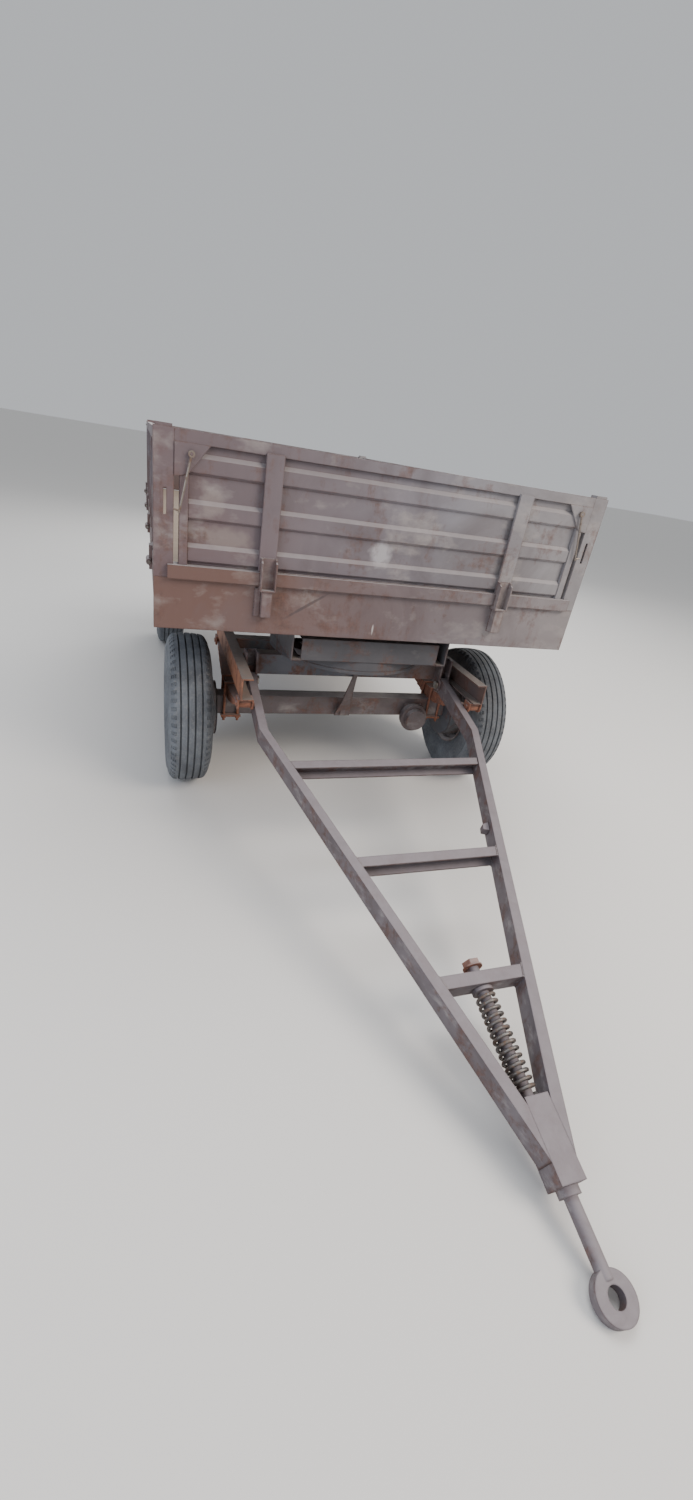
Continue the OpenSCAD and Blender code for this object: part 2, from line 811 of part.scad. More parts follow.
module floor_bearers() {
    half = half_body - sill_width - seat_gap;
    first = body_front + corner_depth + 90;
    last = body_rear - corner_depth - 90;
    pitch_y = (last - first) / 8;
    front = body_front + corner_depth + seat_gap;
    rear = body_rear - corner_depth - seat_gap;
    color("slategray") {
        both_sides() difference() {
            union() {
                channel([rail_x - member / 2, front, bearer_z],
                    [rail_x + member / 2, rear, cross_bearer_z - seat_gap], section, [-1, 2, 0]);
                for (s = [-1, 1]) translate([rail_x + s * (rail_width / 2 + move_gap + ear / 2), 0, 0]) {
                    block([-ear / 2, tip_y - tip_boss_r, tip_z],
                        [ear / 2, tip_y + tip_boss_r, bearer_z + 90]);
                    translate([0, tip_y, tip_z]) bar_x(tip_boss_r, -ear / 2, ear / 2);
                }
            }
            translate([0, tip_y, tip_z])
                bar_x(tip_pin_diameter / 2 + fit_gap, rail_x - 90, rail_x + 90);
        }
        for (i = [0 : 8])
            channel([-half, first + i * pitch_y - member / 2, cross_bearer_z],
                [half, first + i * pitch_y + member / 2, floor_z - seat_gap], 5, [2, 1, 0]);
    }
}

// One hinge lug pair on the sill, centred on Y = 0 and drawn for the right-hand side
module sill_lugs() {
    for (s = [-1, 1]) translate([0, s * 44, 0]) difference() {
        union() {
            translate([hinge_x, 0, wall_hinge_z]) bar_y(knuckle_r, -8, 8);
            block([half_body - eps, -8, wall_hinge_z - knuckle_r - 20],
                [hinge_x, 8, wall_hinge_z]);
        }
        translate([hinge_x, 0, wall_hinge_z]) bar_y(wall_pin_r + seat_gap, -9, 9);
    }
}

function board_hinge_y(i) = body_front + corner_depth + 300
    + i * (body_length - 2 * corner_depth - 600) / (board_hinges - 1);

module floor_sills() {
    color("rosybrown") {
        both_sides() {
            channel([half_body - sill_width, body_front + corner_depth + seat_gap,
                floor_z - sill_height], [half_body, body_rear - corner_depth - seat_gap, floor_z],
                6, [-1, 2, 0]);
            for (i = [0 : board_hinges - 1]) translate([0, board_hinge_y(i), 0]) sill_lugs();
        }
        channel([-half_body, body_rear - corner_depth, floor_z - 140],
            [half_body, body_rear, floor_z], 6, [2, -1, 0]);
    }
}

// Pressed channel across the front, below the floor
module front_apron() {
    metal = 6;
    color("rosybrown") difference() {
        block([-half_body, body_front, apron_z], [half_body, body_front + corner_depth, rail_low]);
        block([-half_body + metal, body_front + metal, apron_z + metal],
            [half_body - metal, body_front + corner_depth + eps, rail_low - metal]);
    }
}

// Outline of the ribbed sheet in [depth, height]: depth grows forwards on the ribs
function rib_steps() = let (pitch = (panel_high - panel_low) / 2.7) [for (i = [0 : 2])
    let (z = panel_low + 10 + i * pitch)
    each [[0, z], [rib_depth, z + 10], [rib_depth, z + 66], [0, z + 84]]];

module front_wall_panel() {
    base = body_front + rib_depth + 4;
    steps = concat([[0, panel_low + seat_gap]], rib_steps(), [[0, panel_high - seat_gap]]);
    last = len(steps) - 1;
    color("thistle") translate([-stile_in + seat_gap, 0, 0]) rotate([90, 0, 90])
        linear_extrude(2 * (stile_in - seat_gap)) polygon(concat(
            [for (p = steps) [base - p[0], p[1]]],
            [for (i = [last : -1 : 0]) [base + sheet - steps[i][0], steps[i][1]]]));
}

module front_wall_frame() {
    back = body_front + rim_depth;
    side = half_body - corner_width - seat_gap;
    color("thistle") difference() {
        union() {
            block([-side, body_front, panel_high], [side, back, wall_top]);
            block([-side, body_front, rail_low + seat_gap], [side, back, panel_low]);
            both_sides() {
                block([stile_in, body_front, panel_low - eps], [stile_out, back, panel_high + eps]);
                block([post_x - post_width / 2, body_front - 12, panel_low],
                    [post_x + post_width / 2, body_front + 3, panel_high + 10]);
                translate([0, body_front + 4, 0]) rotate([90, 0, 0]) linear_extrude(8)
                    polygon([[side, panel_high + eps], [side, panel_high - 126],
                        [stile_out, panel_high - 126], [stile_in, panel_high - 113],
                        [stile_in - 86, panel_high + eps]]);
                translate([latch_x, 0, latch_top]) bar_y(6, body_front - 22, body_front);
            }
        }
        both_sides() block([post_x - post_width / 2 + 6, body_front - 6, panel_low - eps],
            [post_x + post_width / 2 - 6, body_front + 4, panel_high]);
    }
}

module front_rail() {
    end = half_body - corner_width + 26;
    pocket = 37;
    spans = [[-end, -post_x + 5 - pocket], [-post_x + 5 + pocket, post_x - 5 - pocket],
        [post_x - 5 + pocket, end]];
    color("rosybrown") for (s = spans)
        block([s[0] + 1, body_front - 24, rail_low + seat_gap],
            [s[1] - 1, body_front - seat_gap, panel_low - seat_gap]);
}

// Open channel round the foot of each front post, on a box foot
module post_brackets() {
    low = rail_low - 22;
    high = low + 146;
    metal = 7;
    half = 37;
    depth = 52;
    color("indianred") both_sides() translate([post_x - 5, 0, 0]) {
        difference() {
            block([-half, body_front - depth, low], [half, body_front - 12.2, high]);
            block([-half + metal, body_front - depth - eps, low + metal],
                [half - metal, body_front - 12.2 - metal, high + eps]);
            for (s = [-1, 1]) translate([s * half, body_front - depth, high])
                rotate([0, 90, 0]) cylinder(h = 20, r = 16, center = true);
        }
        block([-half, body_front - 12.2, low], [half, body_front - seat_gap, panel_low - seat_gap]);
        block([-24, body_front - 44, apron_z + 90], [24, body_front - seat_gap, low]);
        block([26, body_front - 12, apron_z + 86], [52, body_front - seat_gap, low + 6]);
    }
}

module corner_post(front) {
    y0 = front ? body_front : body_rear - corner_depth;
    inner = half_body - corner_width;
    difference() {
        union() {
            block([inner, y0, front ? rail_low + seat_gap : floor_z + seat_gap],
                [half_body, y0 + corner_depth, wall_top]);
            block([inner + 8, y0 + 6, wall_top - eps],
                [half_body - 8, y0 + corner_depth - 6, wall_top + 12]);
        }
        block([inner + 8, front ? y0 + 8 : y0 - eps, floor_top + 30],
            [half_body - 8, front ? y0 + corner_depth + eps : y0 + corner_depth - 8, wall_top - 40]);
        if (front) block([inner + 30, y0 - eps, floor_top + 255], [inner + 42, y0 + 10, floor_top + 360]);
        if (!front) translate([0, y0 + corner_depth - wall_thickness / 2, tailgate_pin_z])
            bar_x(wall_pin_r + seat_gap, inner - eps, half_body + eps);
    }
}

module corner_posts() {
    color("thistle") both_sides() {
        corner_post(true);
        corner_post(false);
    }
}

module wall_hinge_pins() {
    color("silver") both_sides() {
        for (i = [0 : board_hinges - 1])
            translate([hinge_x, board_hinge_y(i), wall_hinge_z]) bar_y(wall_pin_r, -58, 58);
        translate([0, body_rear - wall_thickness / 2, tailgate_pin_z])
            bar_x(wall_pin_r, tailgate_half - 30, half_body + 6);
    }
}

module ram_socket() {
    low = ball_z - 28;
    high = cross_bearer_z - seat_gap;
    color("slategray") translate([0, ram_y, 0]) union() {
        difference() {
            translate([0, 0, low]) cylinder(h = high - low - 8, r = socket_r + 14);
            translate([0, 0, low - eps]) cylinder(h = high - low - 18, r = socket_r);
        }
        block([-rail_x + member / 2 + seat_gap, -45, high - 10],
            [rail_x - member / 2 - seat_gap, 45, high]);
    }
}

// Hinged side board, drawn for the right-hand side: sheet inside, frame and ribs outside
module sideboard() {
    front = body_front + corner_depth + move_gap;
    rear = body_rear - corner_depth - move_gap;
    inside = half_body - wall_thickness;
    bays = 8;
    rib = 46;
    step = (rear - front - rib) / bays;
    fold = 5;
    color("thistle") difference() {
        union() {
            block([inside, front, board_low], [inside + sheet, rear, board_high]);
            block([inside, front, board_high - rim_height], [half_body, rear, board_high]);
            block([inside, front, board_low], [half_body, rear, board_low + 40]);
            for (i = [0 : bays])
                block([inside, front + i * step, board_low],
                    [half_body, front + i * step + rib, board_high]);
            for (i = [0 : board_hinges - 1]) translate([0, board_hinge_y(i), 0]) {
                translate([hinge_x, 0, wall_hinge_z]) bar_y(knuckle_r, -33, 33);
                block([half_body + 1, -33, wall_hinge_z], [hinge_x, 33, board_low + 60]);
                block([half_body - eps, -33, board_low], [half_body + 2, 33, board_low + 60]);
            }
        }
        for (i = [0 : board_hinges - 1]) translate([hinge_x, board_hinge_y(i), wall_hinge_z])
            bar_y(wall_pin_r + fit_gap, -34, 34);
        block([inside + sheet + 1, front + fold, board_high - rim_height - eps],
            [half_body - fold, rear - fold, board_high - fold]);
        block([inside + sheet + 1, front + fold, board_low - eps],
            [half_body - fold, rear - fold, board_low + 40 - fold]);
        for (i = [0 : bays]) block([inside + sheet + 1, front + i * step + fold, board_low - eps],
            [half_body - fold, front + i * step + rib - fold, board_high - fold - eps]);
    }
}

module tailgate() {
    y0 = body_rear - wall_thickness;
    bays = 4;
    rib = 46;
    step = (2 * tailgate_half - rib) / bays;
    fold = 5;
    color("thistle") difference() {
        union() {
            block([-tailgate_half, y0, board_low], [tailgate_half, y0 + sheet, board_high]);
            block([-tailgate_half, y0, board_high - rim_height], [tailgate_half, body_rear, board_high]);
            block([-tailgate_half, y0, board_low], [tailgate_half, body_rear, board_low + 40]);
            for (i = [0 : bays])
                block([-tailgate_half + i * step, y0, board_low],
                    [-tailgate_half + i * step + rib, body_rear, board_high]);
        }
        both_sides() translate([0, body_rear - wall_thickness / 2, tailgate_pin_z])
            bar_x(wall_pin_r + fit_gap, tailgate_half - 34, tailgate_half + eps);
        block([-tailgate_half + rib, y0 + sheet + 1, board_low - eps],
            [tailgate_half - rib, body_rear - fold, board_low + 40 - fold]);
        block([-tailgate_half + rib, y0 + sheet + 1, board_high - rim_height - eps],
            [tailgate_half - rib, body_rear - fold, board_high - fold]);
        for (i = [1 : bays - 1])
            block([-tailgate_half + i * step + fold, y0 + sheet + 1, board_low - eps],
                [-tailgate_half + i * step + rib - fold, body_rear - fold, board_high - fold - eps]);
    }
}

// Rod that hooks the front wall to the corner post, drawn for the right-hand side
module latch_rod() {
    y = body_front - 16;
    drop = 236;
    color("lightgray") translate([latch_x, y, latch_top]) rotate([0, -11.5, 0]) difference() {
        union() {
            bar_y(14, -6, 6);
            translate([0, 0, -drop]) cylinder(h = drop - 10, r = 5);
            translate([0, 0, -drop + 8]) rotate([0, 90, 0]) cylinder(h = 26, r = 4);
        }
        bar_y(6 + fit_gap, -7, 7);
    }
}

in_frame() frame_rails();
in_frame() frame_cross_members();
in_frame() turntable_upper_ring();
in_frame() axle_beam(wheelbase, "slategray");  // rear_axle_beam
in_frame() leaf_springs(rail_x, wheelbase);  // rear_leaf_springs
in_frame() spring_hangers(rail_x, wheelbase, rail_z);  // rear_spring_hangers
in_frame() u_bolts(rail_x, wheelbase);  // rear_u_bolts
in_frame() brakes(wheelbase);  // rear_brakes
in_frame() ram_cradle();
in_frame() tip_hinge_pins();
in_frame() turntable_lower_ring();
in_frame() turntable_balls();
in_frame() bogie_frame();
in_frame() front_axle_beam();
in_frame() leaf_springs(front_spring_x, 0);  // front_leaf_springs
in_frame() spring_hangers(front_spring_x, 0, bogie_z);  // front_spring_hangers
in_frame() u_bolts(front_spring_x, 0);  // front_u_bolts
in_frame() brakes(0);  // front_brakes
in_frame() brake_chamber();  // front_brake_chamber
in_frame() drawbar_brackets();
in_frame() drawbar_arms();
in_frame() drawbar_crossbars();
in_frame() drawbar_hinge_pins();
in_frame() drawbar_head();
in_frame() towing_eye();
in_frame() eye_nut();
in_frame() buffer_spring();
in_frame() at_wheel(-1, 0) tyre();  // tyre_front_left
in_frame() at_wheel(1, 0) tyre();  // tyre_front_right
in_frame() at_wheel(-1, wheelbase) tyre();  // tyre_rear_left
in_frame() at_wheel(1, wheelbase) tyre();  // tyre_rear_right
in_frame() at_wheel(-1, 0) rim();  // rim_front_left
in_frame() at_wheel(1, 0) rim();  // rim_front_right
in_frame() at_wheel(-1, wheelbase) rim();  // rim_rear_left
in_frame() at_wheel(1, wheelbase) rim();  // rim_rear_right
in_frame() at_wheel(-1, 0) hub();  // hub_front_left
in_frame() at_wheel(1, 0) hub();  // hub_front_right
in_frame() at_wheel(-1, wheelbase) hub();  // hub_rear_left
in_frame() at_wheel(1, wheelbase) hub();  // hub_rear_right
in_frame() ram_barrel();
in_frame() ram_stage(1);  // ram_stage_1
in_frame() ram_stage(2);  // ram_stage_2
in_frame() ram_rod();
in_frame() floor_sheet();
in_frame() floor_bearers();
in_frame() floor_sills();
in_frame() front_apron();
in_frame() front_wall_panel();
in_frame() front_wall_frame();
in_frame() front_rail();
in_frame() post_brackets();
in_frame() corner_posts();
in_frame() wall_hinge_pins();
in_frame() ram_socket();
in_frame() mirror([1, 0, 0]) sideboard();  // left_sideboard
in_frame() sideboard();  // right_sideboard
in_frame() tailgate();
in_frame() mirror([1, 0, 0]) latch_rod();  // left_latch
in_frame() latch_rod();  // right_latch
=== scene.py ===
from functools import partial
from math import atan2, cos, pi, radians, sin, sqrt
from random import Random

import bmesh
import bpy
from mathutils import Matrix, Vector, noise
from mathutils.bvhtree import BVHTree


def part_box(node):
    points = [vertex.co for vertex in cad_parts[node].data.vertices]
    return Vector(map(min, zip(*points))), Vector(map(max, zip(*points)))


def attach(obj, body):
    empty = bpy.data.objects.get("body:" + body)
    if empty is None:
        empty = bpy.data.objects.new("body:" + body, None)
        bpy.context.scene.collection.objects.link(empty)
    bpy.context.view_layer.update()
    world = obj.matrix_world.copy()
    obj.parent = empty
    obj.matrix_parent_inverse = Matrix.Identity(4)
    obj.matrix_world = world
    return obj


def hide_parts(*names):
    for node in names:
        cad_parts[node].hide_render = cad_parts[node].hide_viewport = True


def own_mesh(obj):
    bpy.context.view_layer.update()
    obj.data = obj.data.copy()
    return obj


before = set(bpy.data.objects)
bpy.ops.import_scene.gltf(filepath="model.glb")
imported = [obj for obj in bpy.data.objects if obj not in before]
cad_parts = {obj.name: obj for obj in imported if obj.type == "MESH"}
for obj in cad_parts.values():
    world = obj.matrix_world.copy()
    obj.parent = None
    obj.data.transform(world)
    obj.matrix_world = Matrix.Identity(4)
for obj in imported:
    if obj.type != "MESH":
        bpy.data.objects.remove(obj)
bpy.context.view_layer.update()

print("frame loaded:", len(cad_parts), "nodes")
mm = 0.001

# the ground under the front axle is where the camera and the lamps are measured from
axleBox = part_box("tyre_front_left")
underAxle = Vector((0, (axleBox[0].y + axleBox[1].y) / 2, 0))
sides = {"left": -1, "right": 1}


# sRGB hex to linear RGBA
def hexColour(text):
    parts = [int(text[i:i + 2], 16) / 255 for i in (1, 3, 5)]
    return [c / 12.92 if c <= 0.04045 else ((c + 0.055) / 1.055) ** 2.4 for c in parts] + [1.0]


# texture scale of a pattern whose features are this many millimetres apart
def perMetre(size):
    return 1000 / size


def addNode(tree, kind, values=None, links=None, stops=None, **settings):
    node = tree.nodes.new(kind)
    for key, value in settings.items():
        setattr(node, key, value)
    for key, value in (values or {}).items():
        node.inputs[key].default_value = value
    for key, source in (links or {}).items():
        tree.links.new(source, node.inputs[key])
    if stops:
        ramp = node.color_ramp
        for element, (position, grey) in zip(ramp.elements, stops):
            element.position = position
            element.color = (grey, grey, grey, 1)
    return node


def newTree(name):
    made = bpy.data.materials.new(name)
    made.use_nodes = True
    made.node_tree.nodes.clear()
    return made, made.node_tree


# how the layers of old paint are laid, the same for every painted part; sizes in millimetres
paintLayers = {
    "fadeRamp": (0.34, 0.66), "blotchStretch": (0.55, 0.55, 1), "blotchEnd": 0.72,
    "markGrainMm": 35, "markOutside": 1.7, "markInside": 1.1,
    "streakMm": 38, "streakStretch": (1, 1, 0.09), "streakShare": 0.32,
    "edgeMm": 7, "edgeFlat": 0.995, "edgeSharp": 0.86,
    "rustStart": 0.86, "rustReach": 0.3, "mottleMm": 24, "mottleRamp": (0.36, 0.66), "rustRough": 0.92,
    "dustFrom": 0.35, "dustFull": 0.95, "dustLeast": 0.04,
    "gritMm": 5, "reliefMm": 1.6, "reliefStrength": 0.5,
}


# Alkyd paint brushed on hot-rolled steel plate: a dull skin that bleaches in fields, chips and rusts
# from its edges, so the eye sees chalky blotches, brown bleeding streaks and pale dust on the ledges
def weatheredPaint(name, look):
    lay = paintLayers
    made, tree = newTree(name)
    add = partial(addNode, tree)
    where = add("ShaderNodeTexCoord")
    spot, facing = where.outputs["Object"], where.outputs["Normal"]
    # bleached fields, a forearm across
    fade = add("ShaderNodeTexNoise", links={"Vector": spot},
               values={"Scale": perMetre(look["fadeMm"]), "Detail": 5, "Roughness": 0.62, "Distortion": 0.6})
    fade = add("ShaderNodeValToRGB", links={0: fade.outputs[0]}, stops=zip(lay["fadeRamp"], (0, 1)))
    colour = add("ShaderNodeMix", data_type="RGBA", links={0: fade.outputs[0]},
                 values={6: hexColour(look["paint"]), 7: hexColour(look["bleached"])}).outputs[2]
    # one end or side of a piece can be redder or paler than the other; on the front wall and apron the paler
    # right side is painted light, where the sun falls
    for axisOf, low, high, tint, share in look["leans"]:
        along = add("ShaderNodeSeparateXYZ", links={0: spot}).outputs[axisOf]
        along = add("ShaderNodeMapRange", links={0: along}, values={1: low, 2: high, 3: 0.0, 4: share})
        ragged = add("ShaderNodeMath", operation="MULTIPLY",
                     links={0: along.outputs[0], 1: fade.outputs[0]}, use_clamp=True)
        mixed = add("ShaderNodeMath", operation="ADD", use_clamp=True,
                    links={0: along.outputs[0], 1: ragged.outputs[0]})
        colour = add("ShaderNodeMix", data_type="RGBA", links={0: mixed.outputs[0], 6: colour},
                     values={7: hexColour(tint)}).outputs[2]
    # scuffs and pale chalky blotches, palm sized and wider than they are tall
    wide = add("ShaderNodeMapping", links={0: spot}, values={3: lay["blotchStretch"]})
    chalk = add("ShaderNodeTexNoise", links={"Vector": wide.outputs[0]},
                values={"Scale": perMetre(look["chalkMm"]), "Detail": 5, "Roughness": 0.62, "Distortion": 0.15})
    blotchStart = 0.6 - look["chalkShare"] * 0.12
    chalk = add("ShaderNodeValToRGB", links={0: chalk.outputs[0]},
                stops=[(blotchStart, 0), (lay["blotchEnd"], look["chalkShare"])])
    colour = add("ShaderNodeMix", data_type="RGBA", links={0: chalk.outputs[0], 6: colour},
                 values={7: hexColour(look["chalk"])}).outputs[2]
    # marks, each a soft oval with an uneven rim, laid over the paint in a colour of their own
    for centre, turn, reach, tint, share in look["marks"]:
        oval = add("ShaderNodeMapping", vector_type="TEXTURE", links={0: spot},
                   values={1: centre, 2: turn, 3: reach})
        uneven = add("ShaderNodeTexNoise", links={"Vector": spot},
                     values={"Scale": perMetre(lay["markGrainMm"]), "Detail": 5})
        away = add("ShaderNodeVectorMath", operation="LENGTH", links={0: oval.outputs[0]})
        away = add("ShaderNodeMath", operation="ADD", links={0: away.outputs["Value"], 1: uneven.outputs[0]})
        inside = add("ShaderNodeMapRange", links={0: away.outputs[0]},
                     values={1: lay["markOutside"], 2: lay["markInside"], 3: 0.0, 4: share})
        colour = add("ShaderNodeMix", data_type="RGBA", links={0: inside.outputs[0], 6: colour},
                     values={7: hexColour(tint)}).outputs[2]
    # rain streaks: the pattern is drawn out down the piece
    drawn = add("ShaderNodeMapping", links={0: spot}, values={3: lay["streakStretch"]})
    streak = add("ShaderNodeTexNoise", links={"Vector": drawn.outputs[0]},
                 values={"Scale": perMetre(lay["streakMm"]), "Detail": 6, "Roughness": 0.6})
    # rust fields with ragged edges
    field = add("ShaderNodeTexNoise", links={"Vector": spot},
                values={"Scale": perMetre(look["rustMm"]), "Detail": 10, "Roughness": 0.72, "Distortion": 0.3})
    both = add("ShaderNodeMath", operation="MULTIPLY_ADD", values={1: lay["streakShare"]},
               links={0: streak.outputs[0], 2: field.outputs[0]})
    # worn edges, where the surface turns within a few millimetres
    rounded = add("ShaderNodeBevel", samples=4, values={"Radius": lay["edgeMm"] * mm})
    flat = add("ShaderNodeNewGeometry")
    turn = add("ShaderNodeVectorMath", operation="DOT_PRODUCT",
               links={0: rounded.outputs[0], 1: flat.outputs["Normal"]})
    worn = add("ShaderNodeMapRange", links={0: turn.outputs["Value"]},
               values={1: lay["edgeFlat"], 2: lay["edgeSharp"], 3: 0.0, 4: look["edgeWear"]})
    both = add("ShaderNodeMath", operation="ADD", links={0: both.outputs[0], 1: worn.outputs[0]})
    threshold = lay["rustStart"] - lay["rustReach"] * look["rustShare"]
    rust = add("ShaderNodeValToRGB", links={0: both.outputs[0]},
               stops=[(threshold - 0.06, 0), (threshold + 0.07, look["rustDepth"])])
    # the rust itself runs from dark brown to orange at finger-tip size
    mottle = add("ShaderNodeTexNoise", links={"Vector": spot},
                 values={"Scale": perMetre(lay["mottleMm"]), "Detail": 9, "Roughness": 0.75})
    mottle = add("ShaderNodeValToRGB", links={0: mottle.outputs[0]}, stops=zip(lay["mottleRamp"], (0, 1)))
    rustColour = add("ShaderNodeMix", data_type="RGBA", links={0: mottle.outputs[0]},
                     values={6: hexColour(look["rustDark"]), 7: hexColour(look["rustBright"])})
    colour = add("ShaderNodeMix", data_type="RGBA",
                 links={0: rust.outputs[0], 6: colour, 7: rustColour.outputs[2]}).outputs[2]
    # dust settles on what faces up
    up = add("ShaderNodeSeparateXYZ", links={0: facing}).outputs["Z"]
    up = add("ShaderNodeMapRange", links={0: up},
             values={1: lay["dustFrom"], 2: lay["dustFull"], 3: lay["dustLeast"], 4: look["dustShare"]})
    dust = add("ShaderNodeMath", operation="MULTIPLY_ADD", use_clamp=True,
               links={0: up.outputs[0], 1: streak.outputs[0], 2: up.outputs[0]})
    colour = add("ShaderNodeMix", data_type="RGBA", links={0: dust.outputs[0], 6: colour},
                 values={7: hexColour(look["dust"])}).outputs[2]
    rough = add("ShaderNodeMapRange", links={0: rust.outputs[0]},
                values={3: look["rough"], 4: lay["rustRough"]})
    # brush marks and scale: a fine grit that grows where the rust lifts
    grit = add("ShaderNodeTexNoise", links={"Vector": spot},
               values={"Scale": perMetre(lay["gritMm"]), "Detail": 6, "Roughness": 0.7})
    height = add("ShaderNodeMath", operation="MULTIPLY_ADD",
                 links={0: rust.outputs[0], 1: grit.outputs[0], 2: chalk.outputs[0]})
    bump = add("ShaderNodeBump", links={"Height": height.outputs[0], "Normal": rounded.outputs[0]},
               values={"Strength": lay["reliefStrength"], "Distance": lay["reliefMm"] * mm})
    # 1.48 is the index of an alkyd binder
    shine = add("ShaderNodeBsdfPrincipled", values={"IOR": 1.48},
                links={"Base Color": colour, "Roughness": rough.outputs[0], "Normal": bump.outputs[0]})
    add("ShaderNodeOutputMaterial", links={0: shine.outputs[0]})
    return made


# Carbon-black tyre rubber from a steel mould, years outdoors: dry and finely crazed, so it looks grey
# rather than black, with field dust in its low places and next to no shine
def dustyRubber(name, look):
    made, tree = newTree(name)
    add = partial(addNode, tree)
    spot = add("ShaderNodeTexCoord").outputs["Object"]
    cloud = add("ShaderNodeTexNoise", links={"Vector": spot},
                values={"Scale": perMetre(look["cloudMm"]), "Detail": 7, "Roughness": 0.65, "Distortion": 0.5})
    cloud = add("ShaderNodeValToRGB", links={0: cloud.outputs[0]}, stops=[(0.34, 0), (0.7, 1)])
    colour = add("ShaderNodeMix", data_type="RGBA", links={0: cloud.outputs[0]},
                 values={6: hexColour(look["rubber"]), 7: hexColour(look["dust"])})
    speck = add("ShaderNodeTexNoise", links={"Vector": spot},
                values={"Scale": perMetre(look["speckMm"]), "Detail": 8, "Roughness": 0.8})
    speck = add("ShaderNodeValToRGB", links={0: speck.outputs[0]}, stops=[(0.5, 0), (0.72, look["mudShare"])])
    colour = add("ShaderNodeMix", data_type="RGBA", links={0: speck.outputs[0], 6: colour.outputs[2]},
                 values={7: hexColour(look["mud"])})
    crazed = add("ShaderNodeTexVoronoi", feature="DISTANCE_TO_EDGE", links={"Vector": spot},
                 values={"Scale": perMetre(look["crazeMm"])})
    crazed = add("ShaderNodeMapRange", links={0: crazed.outputs[0]}, values={1: 0.0, 2: 0.06})
    height = add("ShaderNodeMath", operation="MULTIPLY_ADD", links={0: crazed.outputs[0], 2: speck.outputs[0]},
                 values={1: 0.35})
    bump = add("ShaderNodeBump", links={"Height": height.outputs[0]},
               values={"Strength": 0.35, "Distance": 1.2 * mm})
    rough = add("ShaderNodeMapRange", links={0: cloud.outputs[0]}, values={3: 0.72, 4: 0.95})
    shine = add("ShaderNodeBsdfPrincipled", values={"IOR": 1.52},
                links={"Base Color": colour.outputs[2], "Roughness": rough.outputs[0],
                       "Normal": bump.outputs[0]})
    add("ShaderNodeOutputMaterial", links={0: shine.outputs[0]})
    return made


# Turned or ground steel that works in a joint: bright and directionless where it rubs, brown and dull
# where damp has stood on it
def wornSteel(name, look):
    made, tree = newTree(name)
    add = partial(addNode, tree)
    spot = add("ShaderNodeTexCoord").outputs["Object"]
    stain = add("ShaderNodeTexNoise", links={"Vector": spot},
                values={"Scale": perMetre(look["stainMm"]), "Detail": 9, "Roughness": 0.7, "Distortion": 0.4})
    edge = 0.78 - 0.4 * look["stainShare"]
    stain = add("ShaderNodeValToRGB", links={0: stain.outputs[0]}, stops=[(edge - 0.1, 0), (edge + 0.06, 1)])
    colour = add("ShaderNodeMix", data_type="RGBA", links={0: stain.outputs[0]},
                 values={6: hexColour(look["steel"]), 7: hexColour(look["stain"])})
    metal = add("ShaderNodeMapRange", links={0: stain.outputs[0]}, values={3: 1.0, 4: 0.15})
    rough = add("ShaderNodeMapRange", links={0: stain.outputs[0]}, values={3: look["rough"], 4: 0.85})
    grit = add("ShaderNodeTexNoise", links={"Vector": spot},
               values={"Scale": perMetre(3), "Detail": 5, "Roughness": 0.7})
    height = add("ShaderNodeMath", operation="MULTIPLY_ADD",
                 links={0: stain.outputs[0], 1: grit.outputs[0], 2: stain.outputs[0]})
    bump = add("ShaderNodeBump", links={"Height": height.outputs[0]},
               values={"Strength": 0.4, "Distance": 0.8 * mm})
    shine = add("ShaderNodeBsdfPrincipled",
                links={"Base Color": colour.outputs[2], "Roughness": rough.outputs[0],
                       "Metallic": metal.outputs[0], "Normal": bump.outputs[0]})
    add("ShaderNodeOutputMaterial", links={0: shine.outputs[0]})
    return made


